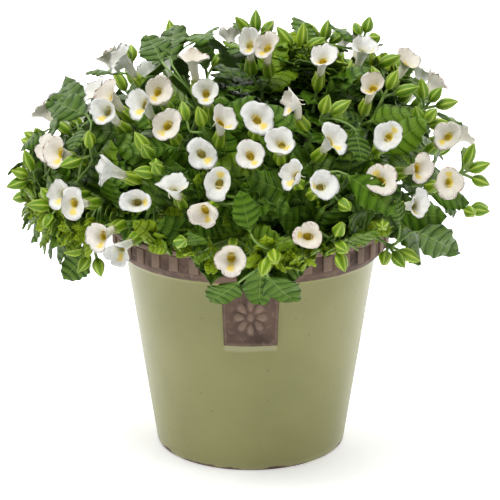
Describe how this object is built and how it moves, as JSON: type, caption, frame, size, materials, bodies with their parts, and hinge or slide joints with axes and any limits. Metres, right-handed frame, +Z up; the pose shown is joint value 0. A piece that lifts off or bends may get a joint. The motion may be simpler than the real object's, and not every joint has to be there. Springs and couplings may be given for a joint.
{
  "type": "potted wishbone flower",
  "caption": "White wishbone flower in full bloom, a leafy dome of trumpet blooms that overhangs a tapered green glazed pot with a bare clay rim band and a pressed seal",
  "frame": {"origin": "centre of the pot's underside, on the surface that the pot stands on", "axes": "+Z up the pot's axis; -Y towards the front, where the seal is; +X to the right as seen from the front"},
  "size_m": [0.3726, 0.3842, 0.3482],
  "materials": {
    "pot": "gloss",
    "compost": "matte",
    "leaf": "satin",
    "petal": "matte"
  },
  "bodies": {
    "root": {"pot": "pot", "compost": "compost", "plant_0": "leaf", "plant_1": "leaf", "plant_2": "leaf", "plant_3": "leaf", "plant_4": "leaf", "plant_5": "leaf", "plant_6": "leaf", "plant_7": "leaf", "plant_8": "leaf", "bloom_0": "petal", "bloom_1": "petal", "bloom_2": "petal", "bloom_3": "petal", "bloom_4": "petal", "bloom_5": "petal", "bloom_6": "petal", "bloom_7": "petal", "bloom_8": "petal", "bloom_9": "petal", "bloom_10": "petal", "bloom_11": "petal", "bloom_12": "petal", "bloom_13": "petal", "bloom_14": "petal", "bloom_15": "petal", "bloom_16": "petal", "bloom_17": "petal", "bloom_18": "petal", "bloom_19": "petal", "bloom_20": "petal", "bloom_21": "petal", "bloom_22": "petal", "bloom_23": "petal", "bloom_24": "petal", "bloom_25": "petal", "bloom_26": "petal", "bloom_27": "petal", "bloom_28": "petal", "bloom_29": "petal", "bloom_30": "petal", "bloom_31": "petal", "bloom_32": "petal", "bloom_33": "petal", "bloom_34": "petal", "bloom_35": "petal", "bloom_36": "petal", "bloom_37": "petal", "bloom_38": "petal", "bloom_39": "petal", "bloom_40": "petal", "bloom_41": "petal", "bloom_42": "petal", "bloom_43": "petal", "bloom_44": "petal", "bloom_45": "petal", "bloom_46": "petal", "bloom_47": "petal", "bloom_48": "petal"}
  },
  "joints": []
}
